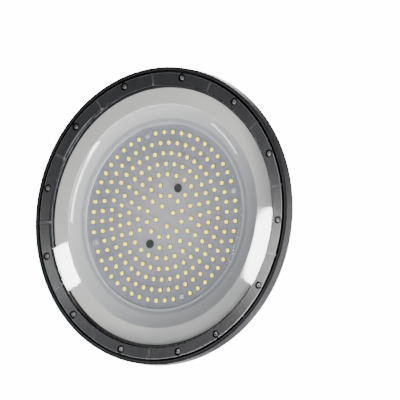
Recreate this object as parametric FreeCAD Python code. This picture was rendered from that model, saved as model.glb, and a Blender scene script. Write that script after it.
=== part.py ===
"""Round LED high bay light: die-cast finned heat sink, LED board under a clear cover,
and a hanging eye and cable gland on the back.

Frame: millimetres, +Z up.  The light hangs as in use, so the LED side faces -Z and the
fins, gland and eye point +Z.  The origin is on the lamp's axis, level with the front
face of the bezel ring, which is the lowest surface.  Fins run along Y.
"""
import os

import FreeCAD
import Part
from FreeCAD import Vector as V
from math import ceil, cos, radians, sin, sqrt

# ---------------------------------------------------------------- driving dimensions
# clearances
SLIP = 0.3                  # between parts that are laid in one another
SCREW_FIT = 0.05            # radial, screw shank in its tapped hole
HOLE_FIT = 0.2              # radial, screw shank in a clearance hole

# heat sink casting: rim and outer floor
BODY_R = 140.0              # outer radius of the rim
LIP_WIDTH = 3.2             # width of the rim's front lip
LIP_SETBACK = 0.8           # lip behind the bezel's front face
RIM_TOP = 12.0              # height of the rim's back edge
RIM_EDGE_WIDTH = 2.4        # flat width of the rim's back edge
RIM_ROUND = 1.2             # rounding of the rim's outer back edge
FLOOR_T = 2.6               # thickness of the outer floor
FLOOR_SLOPE_WIDTH = 15.0    # width of the slope that runs down from the rim edge
FLOOR_WIDTH = 8.6           # width of the flat floor between the slope and the ring wall

# heat sink casting: raised driver chamber
CHAMBER_WALL_T = 2.0        # ring wall's thickness at its crest
CREST_DROP = 0.8            # crest of the ring wall below the fin tips
CHAMBER_DEPTH = 11.5        # driver cavity, from the board seat to the roof
ROOF_T = 2.6                # thickness of the chamber roof
FLANK_WIDTH = 11.0          # width of the flank from the crest down to the roof
POCKET_WALL_T = 3.6         # wall between the ring-shaped pocket and the outer face
SUPPORT_MARGIN = 3.2        # ring that carries the LED board, beyond the board's edge
SUPPORT_WIDTH = 17.0        # width of that ring
PILLAR_R = 10.0             # centre pillar under the eye bolt

# fins
FIN_PITCH = 13.0
FIN_TIP_T = 1.5
FIN_ROOT_T = 2.3
FIN_TOP = 33.0              # height of the flat part of the fins
NOTCH_PITCH = 19.0          # notches along a fin's tip
NOTCH_WIDTH = 1.8
NOTCH_DEPTH = 1.5
PAD_R = 2.6                 # small round pads between the fins
PAD_H = 2.0
PAD_INSET = 15.0            # pads inside the ring wall's outer face
PAD_GAPS = (0, 5)           # gaps between fins, counted from the middle, that hold pads

# bezel ring and its screws
BEZEL_GAP = 1.6             # groove between the lip and the bezel
BEZEL_WIDTH = 11.4
BEZEL_FACE_T = 3.0          # thickness of the inner edge that holds the cover
BEZEL_FOOT_WIDTH = 7.0      # width of the thick outer part
BEZEL_CHAMFER = 0.6
SCREW_COUNT = 13
SCREW_STEP = 28.367         # degrees from one screw to the next; the last gap is shorter
SCREW_FIRST = 171.7         # degrees, first screw
SCREW_CIRCLE_INSET = 4.6    # screw circle inside the bezel's outer edge
M3_R = 1.5
M3_HEAD_R = 2.8
M3_HEAD_H = 2.0
BEZEL_SCREW_L = 6.6
COUNTERBORE_R = 3.4
COUNTERBORE_DEPTH = 2.4
DIVIDER_WIDTH = 0.8         # radial lines that part the bezel's face
DIVIDER_DEPTH = 0.6

# cover, gasket and reflector
COVER_T = 2.0
COVER_STEP = 0.9            # face of the cover's outer band ahead of its flange
BAND_WIDTH = 17.5           # width of the cover's flat outer band
BAND_RISE = 0.5             # how far the band leans forward at its inner edge
DISH_WIDTH = 16.9           # width of the dished slope between the band and the window
WINDOW_BACK = 3.8           # front face of the window behind the bezel's face
BEAD_WIDTH = 2.6            # raised bead round the window
BEAD_H = 0.5
GASKET_T = 1.0
REFLECTOR_T = 1.2

# LED board
BOARD_T = 1.6
PAD_SHEET_T = 0.3
BOARD_INSET = 2.0           # board's edge inside the edge of the window
CHIP_L = 3.5
CHIP_W = 3.2
CHIP_T = 0.8
CHIP_GAP = 0.7              # chips behind the window's back face
OUTER_RING_INSET = 7.52     # outermost ring of chips inside the board's edge
RING_COUNT = 8
OUTER_RING_COUNT = 52       # places in the outermost ring, screws included
BOARD_SCREW_COUNT = 4
BOARD_SCREW_FIRST = 76.0    # degrees
BOARD_SCREW_L = 7.0
BOARD_HEAD_H = 1.2          # low heads, clear of the cover
FULL_RING_NUMBERS = (1, 2, 4, 5, 6, 7)
FULL_RING_COUNTS = (4, 12, 25, 33, 41, 46)
FULL_RING_ANGLES = (74.7, 18.0, 19.5, 12.9, 16.2, 19.7)  # degrees, first chip of each ring
SPLIT_RING_NUMBER = 3       # the ring that the two supply leads come through
LEAD_ANGLES = (30.0, 213.5)  # degrees, where they do
SPLIT_RUN_COUNTS = (7, 6)   # chips between the two leads
SPLIT_RUN_ANGLES = (51.0, 248.0)
SPLIT_RUN_STEPS = (23.3, 20.6)
GROMMET_R = 3.4
GROMMET_LIP = 0.8
GROMMET_LIP_T = 0.7
LEAD_R = 1.0

# driver inside the chamber
STANDOFF = 2.0              # circuit board below the chamber roof
PCB_T = 1.6
PCB_EDGE_GAP = 4.0          # board's edge inside the support ring
PCB_SCREW_INSET = 19.0      # screws inside the board's edge
PCB_SCREW_ANGLES = (35.0, 125.0, 240.0, 325.0)
PCB_BOSS_R = 3.6
PCB_SCREW_L = 5.0
PARTS_INSET = 25.0          # most of the driver's parts inside the board's edge
TRANSFORMER_L = 26.0
TRANSFORMER_W = 22.0
TRANSFORMER_H = 7.5
CORE_LEG = 4.0              # ferrite either side of the winding
CORE_T = 2.0                # ferrite above and below the winding
WINDING_W = 27.0
CAN_R = 3.6
CAN_L = 16.0
CAN_COUNT = 3
CAN_PITCH = 10.0
CAN_ANGLE = 275.0
CHOKE_R = 8.5
CHOKE_HOLE_R = 4.0
CHOKE_H = 6.5
CHOKE_ANGLE = 182.0
DEVICE_L = 15.0
DEVICE_W = 10.0
DEVICE_H = 4.5
DEVICE_COUNT = 2
DEVICE_PITCH = 18.0
DEVICE_ANGLE = 0.0
FUSE_L = 9.0
FUSE_W = 5.0
FUSE_H = 6.0
TERMINAL_L = 16.0
TERMINAL_W = 9.0
TERMINAL_H = 7.5
TERMINAL_GAP = 10.0         # between the pillar and the terminal block
TERMINAL_ANGLE = 145.0

# central boss, washer, locknut and eye bolt
EYE_BOSS_R = 13.0
EYE_BOSS_TOP = 34.0
EYE_SHANK_R = 5.0
EYE_THREAD_DEPTH = 16.0
EYE_WIRE_R = 4.0
EYE_INNER_R = 14.0
EYE_COLLAR_R = 9.0
EYE_COLLAR_H = 4.0
LOCKNUT_AF = 17.0           # across flats
LOCKNUT_H = 8.0
WASHER_R = 9.2
WASHER_T = 2.2

# cable gland
GLAND_X = 2 * FIN_PITCH
GLAND_INSET = 21.0          # gland inside the support ring
GLAND_BOSS_R = 13.5
GLAND_BOSS_TOP = 33.6
GLAND_THREAD_R = 8.0
GLAND_THREAD_L = 9.0
GLAND_AF = 22.0
GLAND_HEX_H = 5.0
GLAND_BARREL_R = 7.6
GLAND_BARREL_H = 8.0
GLAND_NUT_H = 15.0
GLAND_NUT_LAP = 7.4         # length of barrel inside the nut
GLAND_SEAL_R = 6.2
CABLE_HOLE_R = 4.75

# ---------------------------------------------------------------- worked-out values
BEZEL_OUT_R = BODY_R - LIP_WIDTH - BEZEL_GAP
BEZEL_IN_R = BEZEL_OUT_R - BEZEL_WIDTH
BEZEL_STEP_R = BEZEL_OUT_R - BEZEL_FOOT_WIDTH
SEAT_Z = BEZEL_FACE_T + COVER_T + GASKET_T
FLOOR_TOP = SEAT_Z + FLOOR_T
RIM_IN_R = BODY_R - RIM_EDGE_WIDTH
SCREW_CIRCLE_R = BEZEL_OUT_R - SCREW_CIRCLE_INSET
COVER_R = BEZEL_STEP_R - SLIP
CHAMBER_R = RIM_IN_R - FLOOR_SLOPE_WIDTH - FLOOR_WIDTH
PAD_CIRCLE_R = CHAMBER_R - PAD_INSET
BAND_Z = BEZEL_FACE_T - COVER_STEP
BAND_IN_Z = BAND_Z - BAND_RISE
BAND_OUT_R = BEZEL_IN_R - 2 * SLIP
BAND_IN_R = BAND_OUT_R - BAND_WIDTH
WINDOW_R = BAND_IN_R - DISH_WIDTH
BOARD_R = WINDOW_R - BOARD_INSET
SUPPORT_OUT_R = BOARD_R + SUPPORT_MARGIN
SUPPORT_IN_R = SUPPORT_OUT_R - SUPPORT_WIDTH
CHIP_FRONT_Z = WINDOW_BACK + COVER_T + CHIP_GAP
BOARD_Z = CHIP_FRONT_Z + CHIP_T
BOARD_BACK_Z = BOARD_Z + BOARD_T
BOARD_SEAT_Z = BOARD_BACK_Z + PAD_SHEET_T
CHAMBER_IN_Z = BOARD_SEAT_Z + CHAMBER_DEPTH
ROOF_TOP = CHAMBER_IN_Z + ROOF_T
CREST_TOP = FIN_TOP - CREST_DROP
POCKET_OUT_R = CHAMBER_R - POCKET_WALL_T
BOARD_SCREW_CIRCLE_R = BOARD_R - OUTER_RING_INSET
RING_PITCH = BOARD_SCREW_CIRCLE_R / RING_COUNT
LEAD_HOLE_CIRCLE_R = SPLIT_RING_NUMBER * RING_PITCH
PCB_R = SUPPORT_IN_R - PCB_EDGE_GAP
PCB_SCREW_CIRCLE_R = PCB_R - PCB_SCREW_INSET
PARTS_CIRCLE_R = PCB_R - PARTS_INSET
GLAND_Y = GLAND_INSET - SUPPORT_IN_R
PCB_BACK_Z = CHAMBER_IN_Z - STANDOFF
PCB_Z = PCB_BACK_Z - PCB_T


def polar(radius, angle, z=0.0):
    """Point on a circle about the lamp's axis; the angle is in degrees from +Y towards -X."""
    return V(-radius * sin(radians(angle)), radius * cos(radians(angle)), z)


def outline(start, steps):
    """Closed face in the XZ plane.

    Each step is (x, z) for a straight run, or (x_mid, z_mid, x, z) for an arc.
    """
    edges = []
    here = V(start[0], 0, start[1])
    for step in list(steps) + [start]:
        end = V(step[-2], 0, step[-1])
        if len(step) == 4:
            edges.append(Part.Arc(here, V(step[0], 0, step[1]), end).toShape())
        elif (end - here).Length > 1e-6:
            edges.append(Part.LineSegment(here, end).toShape())
        here = end
    return Part.Face(Part.Wire(edges))


def turned(start, steps):
    """Solid turned about the lamp's axis from a half section."""
    return outline(start, steps).revolve(V(0, 0, 0), V(0, 0, 1), 360)


def post(radius, z0, z1, at=V(0, 0, 0)):
    """Upright cylinder from z0 to z1."""
    return Part.makeCylinder(radius, z1 - z0, V(at.x, at.y, z0))


def ring(r_out, r_in, z0, z1, at=V(0, 0, 0)):
    """Upright ring from z0 to z1."""
    return post(r_out, z0, z1, at).cut(post(r_in, z0, z1, at))


def hexagon(across_flats, z0, z1, at=V(0, 0, 0), turn=0.0):
    """Upright hexagonal prism."""
    corner = across_flats / sqrt(3)
    points = [V(at.x, at.y, z0) + polar(corner, 60 * i + turn) for i in range(7)]
    return Part.Face(Part.makePolygon(points)).extrude(V(0, 0, z1 - z0))


def block(length, width, z0, z1, at, angle=0.0):
    """Upright block centred on a point; its length lies along the radius at that angle."""
    solid = Part.makeBox(width, length, z1 - z0, V(-width / 2, -length / 2, z0))
    solid.rotate(V(0, 0, 0), V(0, 0, 1), angle)
    solid.translate(V(at.x, at.y, 0))
    return solid


def pan_screw(at, head_z, length, head_h=M3_HEAD_H):
    """Pan head screw that points up: its head's underside is at head_z."""
    round_r = 0.35 * head_h
    low = head_z - head_h
    corner = round_r * (1 - cos(radians(45)))
    steps = [(M3_HEAD_R - round_r, low),
             (M3_HEAD_R - corner, low + corner, M3_HEAD_R, low + round_r),
             (M3_HEAD_R, head_z), (M3_R, head_z), (M3_R, head_z + length),
             (0, head_z + length)]
    screw = turned((0, low), steps)
    screw.translate(V(at.x, at.y, 0))
    return screw


# ---------------------------------------------------------------- places that repeat
def bezel_screw_angles():
    """Angles of the bezel's screws; the last gap closes the circle."""
    return [SCREW_FIRST + SCREW_STEP * i for i in range(SCREW_COUNT)]


def divider_angles():
    """A dividing line midway between neighbouring screws, but none in the closing gap.

    The closing gap lies after the seventh screw of the row, so the row starts there.
    """
    return [angle + SCREW_STEP / 2 for angle in bezel_screw_angles()[:-1]]


def board_screw_points():
    """Centres of the LED board's screws."""
    step = 360 / BOARD_SCREW_COUNT
    return [polar(BOARD_SCREW_CIRCLE_R, BOARD_SCREW_FIRST + step * i)
            for i in range(BOARD_SCREW_COUNT)]


def lead_points():
    """Centres of the two holes that the supply leads come through."""
    return [polar(LEAD_HOLE_CIRCLE_R, angle) for angle in LEAD_ANGLES]


def chip_places():
    """Radius and angle of every LED chip, ring by ring."""
    places = []
    for number, count, first in zip(FULL_RING_NUMBERS, FULL_RING_COUNTS, FULL_RING_ANGLES):
        places += [(RING_PITCH * number, first + 360 / count * k) for k in range(count)]
    for count, first, step in zip(SPLIT_RUN_COUNTS, SPLIT_RUN_ANGLES, SPLIT_RUN_STEPS):
        places += [(LEAD_HOLE_CIRCLE_R, first + step * k) for k in range(count)]
    per_screw = OUTER_RING_COUNT // BOARD_SCREW_COUNT
    step = 360 / OUTER_RING_COUNT
    places += [(BOARD_SCREW_CIRCLE_R, BOARD_SCREW_FIRST + step * k)
               for k in range(OUTER_RING_COUNT) if k % per_screw]
    return places


def pcb_screw_points():
    """Centres of the driver board's screws."""
    return [polar(PCB_SCREW_CIRCLE_R, angle) for angle in PCB_SCREW_ANGLES]


# ---------------------------------------------------------------- heat sink
def casting_body():
    """The casting's outer form without fins: rim, outer floor, ring wall and roof."""
    slope_end_r = RIM_IN_R - FLOOR_SLOPE_WIDTH
    drop = RIM_TOP - FLOOR_TOP
    round_mid = RIM_ROUND * (1 - cos(radians(45)))
    flank_r = CHAMBER_R - CHAMBER_WALL_T - FLANK_WIDTH
    flank_drop = CREST_TOP - ROOF_TOP
    return turned((0, LIP_SETBACK), [
        (BODY_R, LIP_SETBACK),
        (BODY_R, RIM_TOP - RIM_ROUND),
        (BODY_R - round_mid, RIM_TOP - round_mid, BODY_R - RIM_ROUND, RIM_TOP),
        (RIM_IN_R, RIM_TOP),
        (RIM_IN_R - 0.5 * FLOOR_SLOPE_WIDTH, RIM_TOP - 0.38 * drop, slope_end_r, FLOOR_TOP),
        (CHAMBER_R, FLOOR_TOP),
        (CHAMBER_R, CREST_TOP),
        (CHAMBER_R - CHAMBER_WALL_T, CREST_TOP),
        (CHAMBER_R - CHAMBER_WALL_T - 0.35 * FLANK_WIDTH, CREST_TOP - 0.65 * flank_drop,
         flank_r, ROOF_TOP),
        (0, ROOF_TOP)])


def fin_envelope():
    """Space that the fins fill: flat in the middle, sloping down to the rim's edge."""
    root_z = FLOOR_TOP - FLOOR_T / 2
    return turned((0, root_z), [(RIM_IN_R, root_z), (RIM_IN_R, RIM_TOP),
                                (CHAMBER_R - CHAMBER_WALL_T / 2, FIN_TOP), (0, FIN_TOP)])


def fin(index, envelope):
    """One straight fin, tapered to its tip, with staggered notches along the tip."""
    x = index * FIN_PITCH
    half = sqrt(RIM_IN_R ** 2 - (abs(x) - FIN_ROOT_T / 2) ** 2) + 1
    root_z = FLOOR_TOP - FLOOR_T / 2
    section = Part.Face(Part.makePolygon([
        V(x - FIN_ROOT_T / 2, -half, root_z), V(x + FIN_ROOT_T / 2, -half, root_z),
        V(x + FIN_TIP_T / 2, -half, FIN_TOP), V(x - FIN_TIP_T / 2, -half, FIN_TOP),
        V(x - FIN_ROOT_T / 2, -half, root_z)]))
    slab = section.extrude(V(0, 2 * half, 0)).common(envelope)
    flat_half = sqrt(max((CHAMBER_R - CHAMBER_WALL_T) ** 2 - x ** 2, 0)) - NOTCH_WIDTH
    stagger = 0.5 * (index % 2)
    reach = ceil(flat_half / NOTCH_PITCH) if flat_half > 0 else 0
    notches = [Part.makeBox(FIN_ROOT_T, NOTCH_WIDTH, 2 * NOTCH_DEPTH,
                            V(x - FIN_ROOT_T / 2, NOTCH_PITCH * (k + stagger) - NOTCH_WIDTH / 2,
                              FIN_TOP - NOTCH_DEPTH))
               for k in range(-reach, reach + 1)
               if abs(NOTCH_PITCH * (k + stagger)) < flat_half]
    return slab.cut(Part.makeCompound(notches)) if notches else slab


def fins():
    """All fins, side by side across the back."""
    envelope = fin_envelope()
    count = int((RIM_IN_R - FIN_ROOT_T) / FIN_PITCH)
    return [fin(i, envelope) for i in range(-count, count + 1)]


def pads():
    """Small round pads that stand in the gaps between the fins, near the ring wall."""
    solids = []
    for gap in PAD_GAPS:
        x = (gap + 0.5) * FIN_PITCH
        y = sqrt(PAD_CIRCLE_R ** 2 - x ** 2)
        solids += [post(PAD_R, ROOF_TOP - ROOF_T / 2, ROOF_TOP + PAD_H, V(sx * x, sy * y, 0))
                   for sx in (-1, 1) for sy in (-1, 1)]
    return solids


def heat_sink():
    """Die-cast heat sink: fins and bosses added to the body, then pockets and holes."""
    gland_at = V(GLAND_X, GLAND_Y, 0)
    root_z = ROOF_TOP - ROOF_T / 2
    bosses = [post(EYE_BOSS_R, root_z, EYE_BOSS_TOP),
              post(GLAND_BOSS_R, root_z, GLAND_BOSS_TOP, gland_at)]
    body = casting_body().multiFuse(fins() + bosses + pads())
    pockets = [post(BODY_R - LIP_WIDTH, 0, SEAT_Z),
               ring(POCKET_OUT_R, SUPPORT_OUT_R, 0, CHAMBER_IN_Z),
               post(SUPPORT_OUT_R + SLIP, 0, BOARD_SEAT_Z),
               ring(SUPPORT_IN_R, PILLAR_R, 0, CHAMBER_IN_Z)]
    body = body.cut(Part.makeCompound(pockets))
    pcb_bosses = [post(PCB_BOSS_R, PCB_BACK_Z, CHAMBER_IN_Z + ROOF_T / 2, at)
                  for at in pcb_screw_points()]
    body = body.multiFuse(pcb_bosses)
    tapped = M3_R + SCREW_FIT
    holes = [post(tapped, SEAT_Z - 1, COUNTERBORE_DEPTH + BEZEL_SCREW_L + SLIP,
                  polar(SCREW_CIRCLE_R, a)) for a in bezel_screw_angles()]
    holes += [post(tapped, BOARD_SEAT_Z - 1, BOARD_Z + BOARD_SCREW_L + SLIP, at)
              for at in board_screw_points()]
    holes += [post(tapped, PCB_BACK_Z - 1, PCB_Z + PCB_SCREW_L + SLIP, at)
              for at in pcb_screw_points()]
    holes += [post(EYE_SHANK_R + SCREW_FIT, EYE_BOSS_TOP - EYE_THREAD_DEPTH - SLIP, EYE_BOSS_TOP + 1),
              post(GLAND_THREAD_R + SCREW_FIT, CHAMBER_IN_Z - 1, GLAND_BOSS_TOP + 1, gland_at)]
    return body.cut(Part.makeCompound(holes)).removeSplitter()


# ---------------------------------------------------------------- front parts
def bezel_ring():
    """Clamping ring: thick foot on the casting's seat, thin inner edge over the cover."""
    c = BEZEL_CHAMFER
    body = turned((BEZEL_IN_R, c), [
        (BEZEL_IN_R + c, 0), (BEZEL_OUT_R - c, 0), (BEZEL_OUT_R, c), (BEZEL_OUT_R, SEAT_Z),
        (BEZEL_STEP_R, SEAT_Z), (BEZEL_STEP_R, BEZEL_FACE_T), (BEZEL_IN_R, BEZEL_FACE_T)])
    cuts = []
    for angle in bezel_screw_angles():
        at = polar(SCREW_CIRCLE_R, angle)
        cuts.append(post(M3_R + HOLE_FIT, -1, SEAT_Z + 1, at))
        cuts.append(post(COUNTERBORE_R, -1, COUNTERBORE_DEPTH, at))
    middle = (BEZEL_IN_R + BEZEL_OUT_R) / 2
    for angle in divider_angles():
        cuts.append(block(BEZEL_WIDTH + 2, DIVIDER_WIDTH, -1, DIVIDER_DEPTH,
                          polar(middle, angle), angle))
    return body.cut(Part.makeCompound(cuts))


def bezel_screws():
    """The bezel's screws, heads sunk in their counterbores."""
    return Part.makeCompound([pan_screw(polar(SCREW_CIRCLE_R, a), COUNTERBORE_DEPTH, BEZEL_SCREW_L)
                              for a in bezel_screw_angles()])


def lens_gasket():
    """Flat silicone ring between the cover's flange and the casting's seat."""
    return ring(COVER_R, BEZEL_IN_R + SLIP, SEAT_Z - GASKET_T, SEAT_Z)


def cover_front():
    """Front surface of the cover as run of steps, from the flange's edge to the axis."""
    bead_r = WINDOW_R - BEAD_WIDTH / 2
    mid_r = (BAND_IN_R + WINDOW_R) / 2
    return [(COVER_R, BEZEL_FACE_T),
            (BAND_OUT_R, BEZEL_FACE_T),
            (BAND_OUT_R, BAND_Z),
            (BAND_IN_R, BAND_IN_Z),
            (mid_r, BAND_IN_Z + 0.66 * (WINDOW_BACK - BAND_IN_Z), WINDOW_R, WINDOW_BACK),
            (bead_r, WINDOW_BACK - BEAD_H, WINDOW_R - BEAD_WIDTH, WINDOW_BACK),
            (0, WINDOW_BACK)]


def lens_cover():
    """Clear moulded cover: flange, slightly conical band, dished slope, bead and window."""
    mid_r = (BAND_IN_R + WINDOW_R) / 2
    slope_mid_z = BAND_IN_Z + 0.66 * (WINDOW_BACK - BAND_IN_Z)
    back = [(0, WINDOW_BACK + COVER_T),
            (WINDOW_R, WINDOW_BACK + COVER_T),
            (mid_r, slope_mid_z + COVER_T, BAND_IN_R, BAND_IN_Z + COVER_T),
            (BAND_OUT_R - COVER_T, BAND_Z + COVER_T),
            (BAND_OUT_R - COVER_T, BEZEL_FACE_T + COVER_T),
            (COVER_R, BEZEL_FACE_T + COVER_T)]
    front = cover_front()
    return turned(front[0], front[1:] + back)


def reflector():
    """White reflector ring behind the cover, from the board's edge out to the seat."""
    mid_r = (BAND_IN_R + WINDOW_R) / 2
    slope_mid_z = BAND_IN_Z + 0.66 * (WINDOW_BACK - BAND_IN_Z) + COVER_T + SLIP
    out_r = BAND_OUT_R - COVER_T - SLIP
    in_r = BOARD_R + SLIP
    low_out = BAND_Z + COVER_T + SLIP
    low_in = BAND_IN_Z + COVER_T + SLIP
    low_window = WINDOW_BACK + COVER_T + SLIP
    rim_in = in_r + REFLECTOR_T
    return turned((out_r, low_out), [
        (BAND_IN_R, low_in),
        (mid_r, slope_mid_z, WINDOW_R, low_window),
        (in_r, low_window), (in_r, BOARD_SEAT_Z), (rim_in, BOARD_SEAT_Z),
        (rim_in, low_window + REFLECTOR_T), (WINDOW_R + REFLECTOR_T, low_window + REFLECTOR_T),
        (mid_r, slope_mid_z + REFLECTOR_T, BAND_IN_R, low_in + REFLECTOR_T),
        (out_r - REFLECTOR_T, low_out + REFLECTOR_T),
        (out_r - REFLECTOR_T, SEAT_Z), (out_r, SEAT_Z)])


# ---------------------------------------------------------------- LED board
def led_board():
    """Round aluminium circuit board with its screw holes and lead holes."""
    cuts = [post(M3_R + HOLE_FIT, 0, 2 * BOARD_BACK_Z, at) for at in board_screw_points()]
    cuts += [post(GROMMET_R, 0, 2 * BOARD_BACK_Z, at) for at in lead_points()]
    return post(BOARD_R, BOARD_Z, BOARD_BACK_Z).cut(Part.makeCompound(cuts))


def led_chips():
    """Every LED chip on the board, each turned to its ring."""
    return Part.makeCompound([block(CHIP_L, CHIP_W, CHIP_FRONT_Z, BOARD_Z, polar(r, a), a)
                              for r, a in chip_places()])


def board_screws():
    """Screws that hold the LED board down on its support ring."""
    return Part.makeCompound([pan_screw(at, BOARD_Z, BOARD_SCREW_L, BOARD_HEAD_H)
                              for at in board_screw_points()])


def thermal_pad():
    """Ring of heat-conducting sheet between the LED board and its support."""
    holes = [post(M3_R + HOLE_FIT, 0, 2 * BOARD_SEAT_Z, at) for at in board_screw_points()]
    sheet = ring(BOARD_R, SUPPORT_IN_R + SLIP, BOARD_BACK_Z, BOARD_SEAT_Z)
    return sheet.cut(Part.makeCompound(holes))


def wire_grommets():
    """Rubber grommets in the board's two lead holes."""
    solids = []
    for at in lead_points():
        body = post(GROMMET_R, BOARD_Z, BOARD_BACK_Z, at)
        for z0 in (BOARD_Z - GROMMET_LIP_T, BOARD_BACK_Z):
            body = body.fuse(post(GROMMET_R + GROMMET_LIP, z0, z0 + GROMMET_LIP_T, at))
        solids.append(body.cut(post(LEAD_R, 0, 2 * BOARD_BACK_Z, at)).removeSplitter())
    return Part.makeCompound(solids)


def output_leads():
    """Two straight leads from the driver board through the grommets."""
    return Part.makeCompound([post(LEAD_R, BOARD_Z - GROMMET_LIP_T, PCB_Z, at)
                              for at in lead_points()])


# ---------------------------------------------------------------- driver
def driver_board():
    """Driver's circuit board, hung under the chamber roof round the centre pillar."""
    gland_at = V(GLAND_X, GLAND_Y, 0)
    cuts = [post(PILLAR_R + 1, 0, 2 * PCB_BACK_Z), post(GLAND_BOSS_R, 0, 2 * PCB_BACK_Z, gland_at)]
    cuts += [post(M3_R + HOLE_FIT, 0, 2 * PCB_BACK_Z, at) for at in pcb_screw_points()]
    return post(PCB_R, PCB_Z, PCB_BACK_Z).cut(Part.makeCompound(cuts))


def driver_screws():
    """Screws that hold the driver board to the roof's bosses."""
    return Part.makeCompound([pan_screw(at, PCB_Z, PCB_SCREW_L) for at in pcb_screw_points()])


def row(count, pitch, angle):
    """Centres of parts that stand side by side across the radius at that angle."""
    middle = polar(PARTS_CIRCLE_R, angle)
    return [middle + polar(pitch * (k - (count - 1) / 2), angle + 90) for k in range(count)]


def on_pcb(length, width, height, at, angle):
    """Block that stands on the driver board's lower face, its length along the radius."""
    return block(length, width, PCB_Z - height, PCB_Z, at, angle)


def driver_transformer():
    """Low transformer: a ferrite frame round its winding."""
    angle = 90.0
    at = polar(PARTS_CIRCLE_R, angle)
    low = PCB_Z - TRANSFORMER_H
    core = block(TRANSFORMER_L, TRANSFORMER_W, low, PCB_Z, at, angle)
    inner_l = TRANSFORMER_L - 2 * CORE_LEG
    window = block(inner_l, 2 * TRANSFORMER_W, low + CORE_T, PCB_Z - CORE_T, at, angle)
    winding = block(inner_l, WINDING_W, low + CORE_T, PCB_Z - CORE_T, at, angle)
    return core.cut(window).fuse(winding).removeSplitter()


def driver_capacitors():
    """Electrolytic capacitors lying side by side on the driver board."""
    along = polar(1, CAN_ANGLE)
    low = V(0, 0, PCB_Z - CAN_R) - along * (CAN_L / 2)
    return Part.makeCompound([Part.makeCylinder(CAN_R, CAN_L, at + low, along)
                              for at in row(CAN_COUNT, CAN_PITCH, CAN_ANGLE)])


def driver_choke():
    """Toroid choke, lying flat."""
    return ring(CHOKE_R, CHOKE_HOLE_R, PCB_Z - CHOKE_H, PCB_Z, polar(PARTS_CIRCLE_R, CHOKE_ANGLE))


def power_transistors():
    """Power transistor and bridge rectifier, lying flat side by side."""
    return Part.makeCompound([on_pcb(DEVICE_L, DEVICE_W, DEVICE_H, at, DEVICE_ANGLE)
                              for at in row(DEVICE_COUNT, DEVICE_PITCH, DEVICE_ANGLE)])


def driver_fuse():
    """Small fuse outside the choke."""
    radius = PARTS_CIRCLE_R + CHOKE_R + FUSE_L / 2 + 2 * SLIP
    return on_pcb(FUSE_L, FUSE_W, FUSE_H, polar(radius, CHOKE_ANGLE), CHOKE_ANGLE)


def input_terminals():
    """Terminal block for the mains cable, beside the pillar."""
    radius = PILLAR_R + TERMINAL_GAP + TERMINAL_L / 2
    return on_pcb(TERMINAL_L, TERMINAL_W, TERMINAL_H, polar(radius, TERMINAL_ANGLE), TERMINAL_ANGLE)


# ---------------------------------------------------------------- cable gland
def gland_body():
    """Gland body: thread in the casting's boss, hexagon on it, barrel above."""
    at = V(GLAND_X, GLAND_Y, 0)
    body = post(GLAND_THREAD_R, GLAND_BOSS_TOP - GLAND_THREAD_L, GLAND_BOSS_TOP, at)
    body = body.fuse(hexagon(GLAND_AF, GLAND_BOSS_TOP, GLAND_BOSS_TOP + GLAND_HEX_H, at))
    barrel_top = GLAND_BOSS_TOP + GLAND_HEX_H + GLAND_BARREL_H
    body = body.fuse(post(GLAND_BARREL_R, GLAND_BOSS_TOP, barrel_top, at))
    socket = post(GLAND_SEAL_R, barrel_top - GLAND_NUT_LAP, barrel_top + 1, at)
    bore = post(CABLE_HOLE_R, 0, 2 * barrel_top, at)
    return body.cut(socket).cut(bore).removeSplitter()


def gland_seal():
    """Rubber sleeve squeezed round the cable inside the barrel and the nut."""
    top = GLAND_BOSS_TOP + GLAND_HEX_H + GLAND_BARREL_H
    return ring(GLAND_SEAL_R, CABLE_HOLE_R, top - GLAND_NUT_LAP, top + 2, V(GLAND_X, GLAND_Y, 0))


def gland_nut():
    """Domed compression nut over the barrel."""
    at = V(GLAND_X, GLAND_Y, 0)
    low = GLAND_BOSS_TOP + GLAND_HEX_H + GLAND_BARREL_H - GLAND_NUT_LAP
    barrel_top = low + GLAND_NUT_LAP
    top = low + GLAND_NUT_H
    skirt_r = GLAND_AF / 2
    neck_r = CABLE_HOLE_R + 2.2
    nut = hexagon(GLAND_AF, low, low + 0.55 * GLAND_NUT_H, at)
    dome = turned((0, low), [(skirt_r, low), (skirt_r, low + 0.55 * GLAND_NUT_H),
                             (skirt_r - 1.2, low + 0.85 * GLAND_NUT_H, neck_r, top), (0, top)])
    dome.translate(at)
    nut = nut.fuse(dome)
    nut = nut.cut(post(GLAND_BARREL_R + SCREW_FIT, low - 1, barrel_top, at))
    nut = nut.cut(post(GLAND_SEAL_R + SCREW_FIT, low, barrel_top + 2, at))
    return nut.cut(post(CABLE_HOLE_R, 0, 2 * top, at)).removeSplitter()


# ---------------------------------------------------------------- hanging eye
def eye_washer():
    """Spring washer, with its cut, between the boss and the locknut."""
    washer = ring(WASHER_R, EYE_SHANK_R + HOLE_FIT, EYE_BOSS_TOP, EYE_BOSS_TOP + WASHER_T)
    return washer.cut(block(WASHER_R, 1.0, 0, 2 * EYE_BOSS_TOP, polar(WASHER_R * 0.75, 140), 140))


def eye_locknut():
    """Hexagon nut, its corners chamfered, that locks the eye bolt."""
    low = EYE_BOSS_TOP + WASHER_T
    top = low + LOCKNUT_H
    corner = LOCKNUT_AF / sqrt(3)
    bevel = 1.0
    cone = turned((0, low), [(corner - bevel, low), (corner, low + bevel / 2),
                             (corner, top - bevel / 2), (corner - bevel, top), (0, top)])
    nut = hexagon(LOCKNUT_AF, low, top).common(cone)
    return nut.cut(post(EYE_SHANK_R + SCREW_FIT, low - 1, top + 1))


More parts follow.
